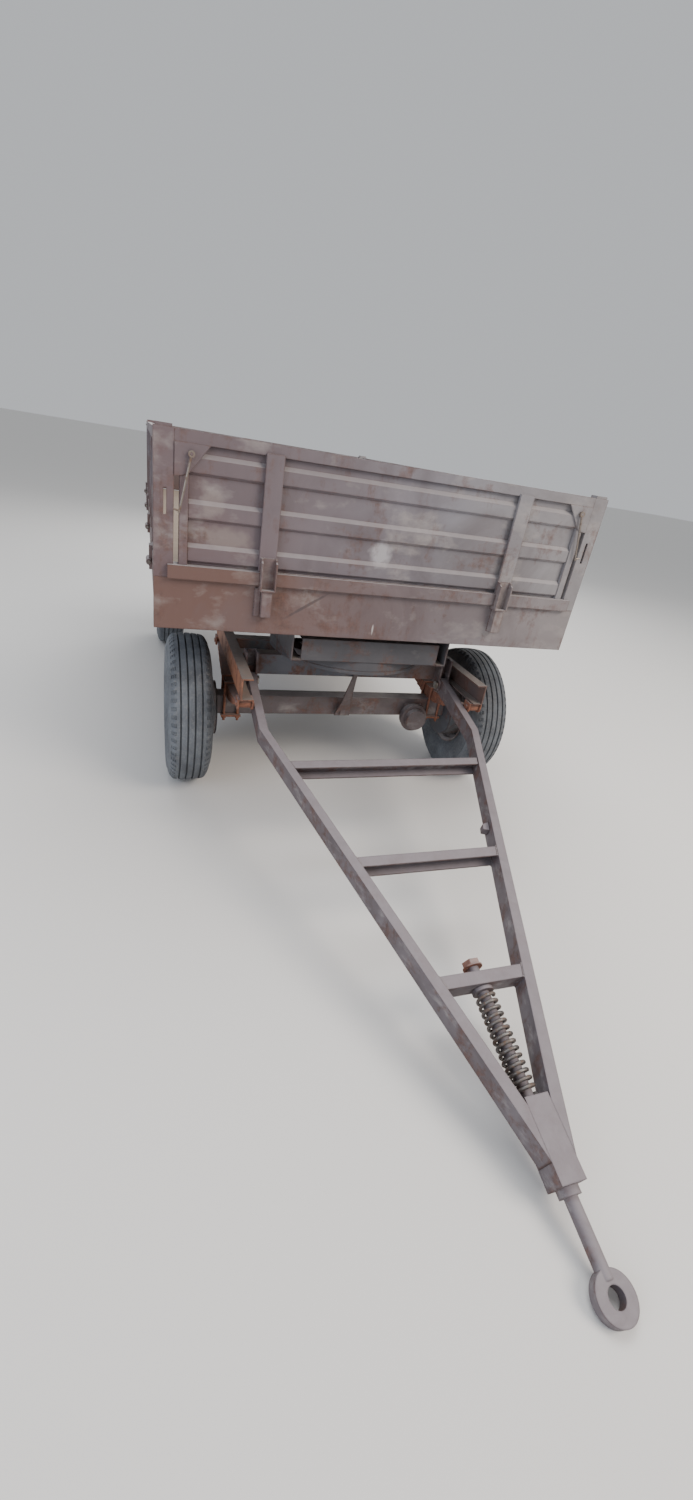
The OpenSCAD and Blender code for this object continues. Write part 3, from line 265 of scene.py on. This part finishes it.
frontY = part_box("front_wall_frame")[0].y
wallLook = {
    "paint": "#5a5459", "bleached": "#7a7981", "fadeMm": 420,
    "chalk": "#a19a95", "chalkMm": 120, "chalkShare": 0.5,
    "rustDark": "#473029", "rustBright": "#6d4a3d", "rustMm": 240, "rustShare": 0.34, "rustDepth": 0.75,
    "edgeWear": 0.13, "dust": "#a09a9a", "dustShare": 0.62, "rough": 0.62, "marks": [],
    # redder toward the left, and paler toward the right: painted light on the sunlit right side
    "leans": [("X", 0.3, -1.2, "#5f4a4b", 0.6), ("X", 0.1, 1.3, "#8f8c8c", 0.5)],
}
looks = {
    "wallPaint": {**wallLook, "marks": [
        ((-0.083, frontY, 1.53), (0, 0, 0), (0.055, 0.2, 0.06), "#a9a6a9", 0.85),
        ((-0.84, frontY, 1.52), (0, 0, 0), (0.13, 0.2, 0.05), "#8b7f78", 0.5),
        ((-0.9, frontY, 1.66), (0, 0, 0), (0.05, 0.2, 0.06), "#8d827c", 0.5)]},
    "apronPaint": {**wallLook, "paint": "#584d50", "bleached": "#716a6f", "rustShare": 0.42, "chalkShare": 0.35,
                   # redder toward the left, and paler toward the right: painted light on the sunlit right side
                   "leans": [("X", 0.4, -1.2, "#61443b", 0.8), ("X", 0.1, 1.3, "#86807f", 0.45)],
                   # a thin dark streak slanting across the left of the apron
                   "marks": [((-0.44, frontY, 1.245), (0, -0.58, 0), (0.13, 0.2, 0.008), "#3f3334", 0.8),
                             ((-0.063, frontY, 1.15), (0, 0, 0), (0.005, 0.2, 0.03), "#c4c0bd", 0.9)]},
    "boardPaint": {**wallLook, "paint": "#5e565a", "bleached": "#7c757a", "rustShare": 0.42,
                   "leans": [("Z", 1.75, 1.35, "#5f4843", 0.6)]},
    "bracketPaint": {**wallLook, "paint": "#60504f", "bleached": "#776a68", "rustShare": 0.5},
    "drawbarPaint": {**wallLook, "paint": "#4f4649", "bleached": "#665f63", "fadeMm": 200, "chalkMm": 45,
                     "chalk": "#9a9494", "chalkShare": 0.55, "rustMm": 90, "rustShare": 0.5,
                     "rustDark": "#3f2c26",
                     "edgeWear": 0.12, "dust": "#837c80", "dustShare": 0.55,
                     "leans": [("Z", 0.3, 0.9, "#524340", 0.35)]},
    "chassisPaint": {**wallLook, "paint": "#3f4249", "bleached": "#54575e", "fadeMm": 300, "chalkShare": 0.2,
                     "rustMm": 150, "rustShare": 0.42, "edgeWear": 0.12, "dust": "#7d7570", "dustShare": 0.6,
                     "leans": [("Z", 0.4, 1.4, "#453c3a", 0.4)]},
    "bogiePaint": {**wallLook, "paint": "#40434b", "bleached": "#565860", "fadeMm": 220, "chalkShare": 0.2,
                   "rustMm": 130, "rustShare": 0.5, "rustDepth": 0.9, "dust": "#7d7570",
                   "leans": [("X", -0.55, -0.68, "#8f5d42", 0.75), ("X", 0.1, 0.7, "#5d4740", 0.6)]},
    "axlePaint": {**wallLook, "paint": "#4a4141", "bleached": "#5f5556", "fadeMm": 200, "rustMm": 120,
                  "rustShare": 0.5, "dustShare": 0.6, "leans": [("Z", 0.4, 1.4, "#54453f", 0.4)]},
    "wheelPaint": {**wallLook, "paint": "#46505a", "bleached": "#626a73", "fadeMm": 120, "chalkMm": 50,
                   "rustMm": 70, "rustShare": 0.5, "leans": [("Z", 0.9, 0.0, "#5f5a55", 0.6)]},
    "springScale": {**wallLook, "paint": "#6b4335", "bleached": "#8a5a42", "fadeMm": 90, "chalkMm": 40,
                    "chalkShare": 0.2, "rustDark": "#5a3324", "rustBright": "#a0664a", "rustMm": 60,
                    "rustShare": 0.8, "rustDepth": 1.0, "edgeWear": 0.1, "dustShare": 0.35, "rough": 0.85,
                    "leans": [("Z", 0.4, 1.4, "#6f5040", 0.4)]},
    "floorScale": {**wallLook, "paint": "#574b45", "bleached": "#6b5d55", "rustMm": 180, "rustShare": 0.75,
                   "dust": "#8d8072", "rough": 0.8, "leans": [("Y", -2, 3, "#5d4a3e", 0.4)]},
    "weldScale": {**wallLook, "paint": "#4a3f40", "bleached": "#62585b", "fadeMm": 60, "chalkMm": 30,
                  "chalkShare": 0.2, "rustMm": 25, "rustShare": 0.65, "rough": 0.75, "leans": []},
}
materials = {name: weatheredPaint(name, look) for name, look in looks.items()}
materials["tyreRubber"] = dustyRubber("tyreRubber", {
    "rubber": "#45494f", "dust": "#6c7177", "mud": "#8b8782", "cloudMm": 160, "speckMm": 14,
    "mudShare": 0.6, "crazeMm": 9})
materials["pinSteel"] = wornSteel("pinSteel", {
    "steel": "#8c8984", "stain": "#5b3b2a", "stainMm": 30, "stainShare": 0.5, "rough": 0.38})
materials["ramSteel"] = wornSteel("ramSteel", {
    "steel": "#a9a9a6", "stain": "#4d4038", "stainMm": 80, "stainShare": 0.12, "rough": 0.22})
materials["coilSteel"] = wornSteel("coilSteel", {
    "steel": "#7b7876", "stain": "#6a5446", "stainMm": 18, "stainShare": 0.55, "rough": 0.5})
materials["rodSteel"] = wornSteel("rodSteel", {
    "steel": "#8d847c", "stain": "#6b5548", "stainMm": 40, "stainShare": 0.5, "rough": 0.5})
print("materials made:", len(materials))

finishes = {
    "wallPaint": ["front_wall_frame", "front_wall_panel", "corner_posts"],
    "apronPaint": ["front_apron", "front_rail"],
    "boardPaint": ["left_sideboard", "right_sideboard", "tailgate", "floor_sills"],
    "bracketPaint": ["post_brackets"],
    "drawbarPaint": ["drawbar_arms", "drawbar_crossbars", "drawbar_head", "drawbar_brackets", "towing_eye"],
    "bogiePaint": ["bogie_frame"],
    "chassisPaint": ["frame_rails", "frame_cross_members", "floor_bearers", "ram_socket",
                     "ram_cradle", "turntable_lower_ring", "turntable_upper_ring", "rear_axle_beam",
                     "front_brakes", "rear_brakes", "ram_barrel"],
    "axlePaint": ["front_axle_beam", "front_brake_chamber"],
    "wheelPaint": [kind + side for kind in ("rim_", "hub_")
                   for side in ("front_left", "front_right", "rear_left", "rear_right")],
    "springScale": ["front_leaf_springs", "rear_leaf_springs", "front_spring_hangers", "rear_spring_hangers",
                    "front_u_bolts", "rear_u_bolts", "eye_nut"],
    "pinSteel": ["tip_hinge_pins", "turntable_balls", "drawbar_hinge_pins", "wall_hinge_pins"],
    "ramSteel": ["ram_stage_1", "ram_stage_2", "ram_rod"],
    "rodSteel": ["left_latch", "right_latch"],
    "floorScale": ["floor_sheet"],
}
for finish, names in finishes.items():
    for name in names:
        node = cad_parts[name]
        node.data.materials.clear()
        node.data.materials.append(materials[finish])


# turns a bmesh into a piece of the trailer that rides with a body
def makePiece(name, bm, material, body, stoodFor=(), smoothBelow=40):
    bmesh.ops.remove_doubles(bm, verts=bm.verts, dist=0.00002)
    bmesh.ops.recalc_face_normals(bm, faces=bm.faces)
    for face in bm.faces:
        face.smooth = True
    for edge in bm.edges:
        edge.smooth = edge.is_manifold and edge.calc_face_angle(0) < radians(smoothBelow)
    mesh = bpy.data.meshes.new(name)
    bm.to_mesh(mesh)
    bm.free()
    mesh.materials.append(materials[material])
    piece = bpy.data.objects.new(name, mesh)
    bpy.context.scene.collection.objects.link(piece)
    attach(piece, body)
    if stoodFor:
        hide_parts(*stoodFor)
    print("piece:", name, len(mesh.polygons), "faces")
    return piece


# a line of edges through the points
def openChain(bm, points):
    verts = [bm.verts.new(p) for p in points]
    return [bm.edges.new(pair) for pair in zip(verts, verts[1:])]


# rib tyre: grooves, shoulder notches and rings on the side wall, in millimetres
tyreShape = {
    "steps": 120, "beadR": 203.6, "halfBead": 76, "halfWidth": 120, "crownR": 442.5, "crownDrop": 7,
    "crownHalf": 78, "grooves": (-57, -19, 19, 57), "grooveHalf": 5, "grooveDepth": 12,
    "grooveLean": 2, "ribHalf": 19,
    "liner": ((-76, 203.6), (-110, 300), (-98, 400), (98, 400), (110, 300), (76, 203.6)),
    "linerIn": 0.86, "notchDepth": 4, "notchRim": 2.8, "notchFromR": 412, "notchFromHalf": 79,
}


# half section from bead to shoulder, as (radius, half width)
def tyreWall(shape):
    side = shape["crownR"] - shape["beadR"]
    return [(shape["beadR"], shape["halfBead"]), (shape["beadR"] + 12, shape["halfBead"] + 12),
            (shape["beadR"] + 22, shape["halfBead"] + 14), (shape["beadR"] + 24, shape["halfBead"] + 11),
            (shape["beadR"] + 0.22 * side, 104), (shape["beadR"] + 0.36 * side, 116),
            (shape["beadR"] + 0.5 * side, shape["halfWidth"]), (shape["beadR"] + 0.62 * side, 119),
            (shape["beadR"] + 0.64 * side, 121.5), (shape["beadR"] + 0.68 * side, 121.3),
            (shape["beadR"] + 0.70 * side, 117.5), (shape["beadR"] + 0.80 * side, 112),
            (shape["beadR"] + 0.87 * side, 105), (shape["beadR"] + 0.93 * side, 95),
            (shape["beadR"] + 0.965 * side, 85)]


def crownHeight(shape, w):
    return shape["crownR"] - shape["crownDrop"] * (w / 80) ** 2


def makeTyre(end, side):
    shape, tyre = tyreShape, "tyre_%s_%s" % (end, side)
    low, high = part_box(tyre)
    wall = tyreWall(shape)
    edge, lean = shape["crownHalf"], shape["grooveLean"]
    tread = [(edge, crownHeight(shape, edge))]
    for g in reversed(shape["grooves"]):
        half, top = shape["grooveHalf"], crownHeight(shape, g)
        foot = top - shape["grooveDepth"]
        tread += [(g + half, top), (g + half - lean, foot), (g - half + lean, foot), (g - half, top)]
        if g > shape["grooves"][0]:
            # the middle of the rib, halfway to the next groove
            tread.append((g - shape["ribHalf"], crownHeight(shape, g - shape["ribHalf"])))
    tread.append((-edge, crownHeight(shape, edge)))
    section = [(w, r) for r, w in wall] + tread + [(-w, r) for r, w in reversed(wall)]
    inner = [(w * shape["linerIn"], r + 3) for w, r in shape["liner"]]
    bm = bmesh.new()
    openChain(bm, [(w * mm, 0, r * mm) for w, r in section + inner + section[:1]])
    bmesh.ops.remove_doubles(bm, verts=bm.verts, dist=0.00001)
    bmesh.ops.spin(bm, geom=list(bm.verts) + list(bm.edges), cent=(0, 0, 0), axis=(1, 0, 0),
                   angle=2 * pi, steps=shape["steps"], use_merge=True)
    bmesh.ops.recalc_face_normals(bm, faces=bm.faces)
    # every other shoulder face is pressed in, which leaves the small side notches of a rib tyre
    notches = []
    for face in bm.faces:
        c = face.calc_center_median()
        r = sqrt(c.y ** 2 + c.z ** 2)
        turnAt = round(atan2(c.z, c.y) % (2 * pi) / (2 * pi) * shape["steps"] - 0.5)
        onShoulder = r > shape["notchFromR"] * mm and abs(c.x) > shape["notchFromHalf"] * mm
        if onShoulder and turnAt % 2 == 0:
            notches.append(face)
    bmesh.ops.inset_individual(bm, faces=notches, thickness=shape["notchRim"] * mm,
                               depth=-shape["notchDepth"] * mm)
    bmesh.ops.translate(bm, verts=bm.verts, vec=(low + high) / 2)
    makePiece("tyre_tread_%s_%s" % (end, side), bm, "tyreRubber", "wheel_%s_%s" % (end, side),
              [tyre], smoothBelow=28)


for end in ("front", "rear"):
    for side in sides:
        makeTyre(end, side)

# the coil lies round the eye's shaft, which leans with the drawbar; keep is its length when the eye is
# pulled right out, as a share of its length at rest
coil = {"wire": 6.5, "radius": 35.0, "turns": 14, "sides": 12, "stepsPerTurn": 28, "length": 349.6,
        "lean": 14.114, "keep": 0.914}


def makeCoil():
    low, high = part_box("buffer_spring")
    middle, lean = (low + high) / 2, radians(coil["lean"])
    bm = bmesh.new()
    ring = bmesh.ops.create_circle(bm, segments=coil["sides"], radius=coil["wire"] * mm)["verts"]
    # the ring stands across the turn: its plane holds the drawbar's line and the radius
    bmesh.ops.rotate(bm, verts=ring, cent=(0, 0, 0), matrix=Matrix.Rotation(pi / 2, 3, "Z"))
    bmesh.ops.translate(bm, verts=ring, vec=(coil["radius"] * mm, 0, 0))
    steps = coil["turns"] * coil["stepsPerTurn"]
    rise = (coil["length"] - 2 * coil["wire"]) * mm
    bmesh.ops.spin(bm, geom=list(bm.verts) + list(bm.edges), cent=(0, 0, 0), axis=(0, 1, 0),
                   dvec=(0, rise / steps, 0), angle=2 * pi * coil["turns"], steps=steps)
    ends = [e for e in bm.edges if e.is_boundary]
    bmesh.ops.holes_fill(bm, edges=ends, sides=0)
    bmesh.ops.translate(bm, verts=bm.verts, vec=(0, -rise / 2, 0))
    bmesh.ops.rotate(bm, verts=bm.verts, cent=(0, 0, 0), matrix=Matrix.Rotation(lean, 3, "X"))
    bmesh.ops.translate(bm, verts=bm.verts, vec=middle)
    piece = makePiece("buffer_coil", bm, "coilSteel", "drawbar", ["buffer_spring"])
    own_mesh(piece)


makeCoil()

# the pressed sheet of the front wall, dented from inside by years of loads
sheetShape = {"columns": 160, "dentMm": 5.0, "dentSize": 0.34, "rippleMm": 1.2, "rippleSize": 0.05,
              "heldWithin": 0.08, "thick": 3.0, "rib": 16.0, "ribs": 3, "pitchShare": 2.7, "footMm": 9.8,
              "ribRise": (0, 10, 38, 66, 84), "flatRise": (114, 144)}


def makeFrontSheet():
    shape = sheetShape
    low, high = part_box("front_wall_panel")
    # the sheet ends 0.2 mm short of the frame above and below
    pitch = (high.z - low.z + 0.4 * mm) / shape["pitchShare"]
    deep = shape["rib"] * mm
    back = high.y - shape["thick"] * mm
    rise = [(low.z, 0)]
    for i in range(shape["ribs"]):
        foot = low.z + shape["footMm"] * mm + i * pitch
        for up, out in zip(shape["ribRise"], (0, deep, deep, deep, 0)):
            rise.append((foot + up * mm, out))
        if i < shape["ribs"] - 1:
            rise += [(foot + up * mm, 0) for up in shape["flatRise"]]
    rise.append((high.z, 0))
    bm = bmesh.new()
    line = openChain(bm, [(low.x, back - out, z) for z, out in rise])
    width = (high.x - low.x) / shape["columns"]
    for column in range(shape["columns"]):
        grown = bmesh.ops.extrude_edge_only(bm, edges=line)["geom"]
        moved = [g for g in grown if isinstance(g, bmesh.types.BMVert)]
        bmesh.ops.translate(bm, verts=moved, vec=(width, 0, 0))
        line = [g for g in grown if isinstance(g, bmesh.types.BMEdge)
                and all(v in moved for v in g.verts)]
    # the edge of the sheet is held by the frame, so dents fade out toward it
    for vert in bm.verts:
        x, z = vert.co.x, vert.co.z
        held = min(x - low.x, high.x - x, z - low.z, high.z - z) / shape["heldWithin"]
        held = max(0.0, min(1.0, held))
        # 7.3 and 2.1 only pick two different layers of the noise
        broad = noise.noise(Vector((x, 7.3, z)) / shape["dentSize"])
        fine = noise.noise(Vector((x, 2.1, z)) / shape["rippleSize"])
        vert.co.y -= held * (max(0.0, broad) * 2 * shape["dentMm"] + fine * shape["rippleMm"]) * mm
    bmesh.ops.recalc_face_normals(bm, faces=bm.faces)
    bmesh.ops.solidify(bm, geom=list(bm.faces), thickness=shape["thick"] * mm)
    makePiece("front_sheet", bm, "wallPaint", "load_body", ["front_wall_panel"], 35)


makeFrontSheet()

# weld beads lie where a sharp edge of one part meets the face of another; sizes in millimetres
weldShape = {"bead": 4.2, "step": 5.0, "near": 2.3, "waver": 0.25, "shortest": 8, "sharpDegrees": 50}
weldSeams = {
    "drawbar_welds": ("drawbar", "drawbar_paint", [("drawbar_crossbars", "drawbar_arms")]),
    "front_wall_welds": ("load_body", "body_paint", [("post_brackets", "front_wall_frame"),
                                                     ("post_brackets", "front_apron"),
                                                     ("front_rail", "front_wall_frame")]),
    "frame_welds": ("chassis", "chassis_paint", [("frame_cross_members", "frame_rails"),
                                                 ("rear_spring_hangers", "frame_rails")]),
    "bogie_welds": ("front_bogie", "chassis_paint", [("drawbar_brackets", "bogie_frame"),
                                                     ("front_spring_hangers", "bogie_frame")]),
    "socket_welds": ("load_body", "chassis_paint", [("ram_socket", "floor_bearers")]),
}


# a copy of a CAD node's surface, its doubled corners merged
def surfaceOf(name):
    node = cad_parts[name]
    bm = bmesh.new()
    bm.from_mesh(node.data)
    bmesh.ops.transform(bm, matrix=node.matrix_world, verts=bm.verts)
    bmesh.ops.remove_doubles(bm, verts=bm.verts, dist=0.00005)
    return bm


# the sharp edges of one part that lie on the other
def seamsBetween(first, second):
    bm, other = surfaceOf(first), surfaceOf(second)
    tree = BVHTree.FromBMesh(other)
    found = []
    for edge in bm.edges:
        sharp = edge.is_manifold and edge.calc_face_angle(0) >= radians(weldShape["sharpDegrees"])
        if not sharp or edge.calc_length() < weldShape["shortest"] * mm:
            continue
        ends = [v.co.copy() for v in edge.verts]
        spots = [ends[0].lerp(ends[1], t) for t in (0.05, 0.5, 0.95)]
        if all(tree.find_nearest(p, weldShape["near"] * mm)[0] for p in spots):
            found.append(ends)
    bm.free()
    other.free()
    return found


def makeWelds(name, body, pairs):
    hand = Random(name)
    whole = bmesh.new()
    for first, second in pairs:
        for start, end in seamsBetween(first, second):
            # one short run at a time: the operators slow down as a mesh grows
            run = bmesh.new()
            count = max(2, int((end - start).length / (weldShape["step"] * mm)))
            for i in range(count + 1):
                size = weldShape["bead"] * (1 + hand.uniform(-1, 1) * weldShape["waver"]) * mm
                turn = Matrix.Rotation(hand.uniform(0, pi), 4, end - start)
                place = Matrix.Translation(start.lerp(end, i / count)) @ turn
                bmesh.ops.create_icosphere(run, subdivisions=1, radius=size, matrix=place)
            held = bpy.data.meshes.new("run")
            run.to_mesh(held)
            run.free()
            whole.from_mesh(held)
            bpy.data.meshes.remove(held)
    makePiece(name, whole, "weldScale", body, smoothBelow=80)


for name, (body, slotName, pairs) in weldSeams.items():
    makeWelds(name, body, pairs)

# tyre valves: a steel stem with a grooved cap, standing out of the wheel disc; profile as (radius, height)
valve = {"radius": 150, "steps": 20, "leanDegrees": {"front": 52, "rear": 205},
         "profile": [(0, -4), (6, -4), (6.5, 0), (6.5, 4), (4.2, 6), (3.8, 22), (5, 22.5), (5, 26),
                     (4.4, 26.6), (5, 27.2), (5, 34), (4, 36), (0, 36)]}


def makeValve(end, side):
    low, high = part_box("rim_%s_%s" % (end, side))
    middle, out = (low + high) / 2, sides[side]
    shell = surfaceOf("rim_%s_%s" % (end, side))
    lean, reach = radians(valve["leanDegrees"][end]), valve["radius"] * mm
    # looked for from half a metre out from the wheel's middle
    start = middle + Vector((out * 0.5, sin(lean) * reach, cos(lean) * reach))
    foot = BVHTree.FromBMesh(shell).ray_cast(start, Vector((-out, 0, 0)))[0]
    shell.free()
    bm = bmesh.new()
    openChain(bm, [(r * mm, 0, z * mm) for r, z in valve["profile"]])
    bmesh.ops.spin(bm, geom=list(bm.verts) + list(bm.edges), cent=(0, 0, 0), axis=(0, 0, 1),
                   angle=2 * pi, steps=valve["steps"], use_merge=True)
    bmesh.ops.rotate(bm, verts=bm.verts, matrix=Matrix.Rotation(out * pi / 2, 3, "Y"))
    bmesh.ops.translate(bm, verts=bm.verts, vec=foot)
    makePiece("valve_%s_%s" % (end, side), bm, "pinSteel", "wheel_%s_%s" % (end, side))


for end in ("front", "rear"):
    for side in sides:
        makeValve(end, side)


# place in metres from the ground under the front axle, turns in degrees, lens in millimetres
view = {"from": (-1.182, -3.284, 1.94), "yaw": 21.84, "pitch": 27.14, "roll": 9.65, "lens": 13.69}


def makeCamera():
    yaw, pitch, roll = (radians(view[k]) for k in ("yaw", "pitch", "roll"))
    ahead = Vector((sin(yaw) * cos(pitch), cos(yaw) * cos(pitch), -sin(pitch)))
    level = Vector((cos(yaw), -sin(yaw), 0))
    above = level.cross(ahead)
    right = level * cos(roll) + above * sin(roll)
    up = above * cos(roll) - level * sin(roll)
    data = bpy.data.cameras.new("camera")
    data.lens, data.sensor_width, data.sensor_fit = view["lens"], 36, "AUTO"
    data.clip_start, data.clip_end = 0.05, 500
    made = bpy.data.objects.new("camera", data)
    bpy.context.scene.collection.objects.link(made)
    turn = Matrix((right, up, -ahead)).transposed().to_4x4()
    made.matrix_world = Matrix.Translation(underAxle + Vector(view["from"])) @ turn
    bpy.context.scene.camera = made


makeCamera()


floorLook = {"half": 120, "colour": "#dcdad7", "rough": 0.9}


def makeFloor():
    bm = bmesh.new()
    bmesh.ops.create_grid(bm, x_segments=1, y_segments=1, size=floorLook["half"])
    mesh = bpy.data.meshes.new("studio_floor")
    bm.to_mesh(mesh)
    bm.free()
    made, tree = newTree("paleFloor")
    shine = addNode(tree, "ShaderNodeBsdfPrincipled",
                    values={"Base Color": hexColour(floorLook["colour"]), "Roughness": floorLook["rough"]})
    addNode(tree, "ShaderNodeOutputMaterial", links={0: shine.outputs[0]})
    mesh.materials.append(made)
    floor = bpy.data.objects.new("studio_floor", mesh)
    bpy.context.scene.collection.objects.link(floor)


makeFloor()

lamps = {
    "key": {"at": (4.5, -5.5, 6.5), "aim": (0.2, -0.6, 1.2), "size": 4.0, "power": 620, "tint": "#fff3e6"},
    "fill": {"at": (-6.5, -4.0, 3.6), "aim": (-0.4, -0.5, 0.9), "size": 5.0, "power": 260, "tint": "#e6eeff"},
    "top": {"at": (0.5, 1.5, 8.5), "aim": (0, 0.5, 1.0), "size": 6.0, "power": 480, "tint": "#ffffff"},
    "rear": {"at": (3.0, 9.0, 5.0), "aim": (0, 1.5, 1.0), "size": 5.0, "power": 320, "tint": "#ffffff"},
}
for name, lamp in lamps.items():
    data = bpy.data.lights.new(name, "AREA")
    data.shape, data.size, data.energy = "SQUARE", lamp["size"], lamp["power"]
    data.color = hexColour(lamp["tint"])[:3]
    made = bpy.data.objects.new(name, data)
    bpy.context.scene.collection.objects.link(made)
    made.location = Vector(lamp["at"]) + underAxle
    toward = Vector(lamp["aim"]) - Vector(lamp["at"])
    made.rotation_euler = toward.to_track_quat("-Z", "Y").to_euler()

world = bpy.data.worlds.new("studio")
world.use_nodes = True
world.node_tree.nodes["Background"].inputs["Color"].default_value = hexColour("#dfe2e6")
world.node_tree.nodes["Background"].inputs["Strength"].default_value = 0.75
bpy.context.scene.world = world
print("stage set")
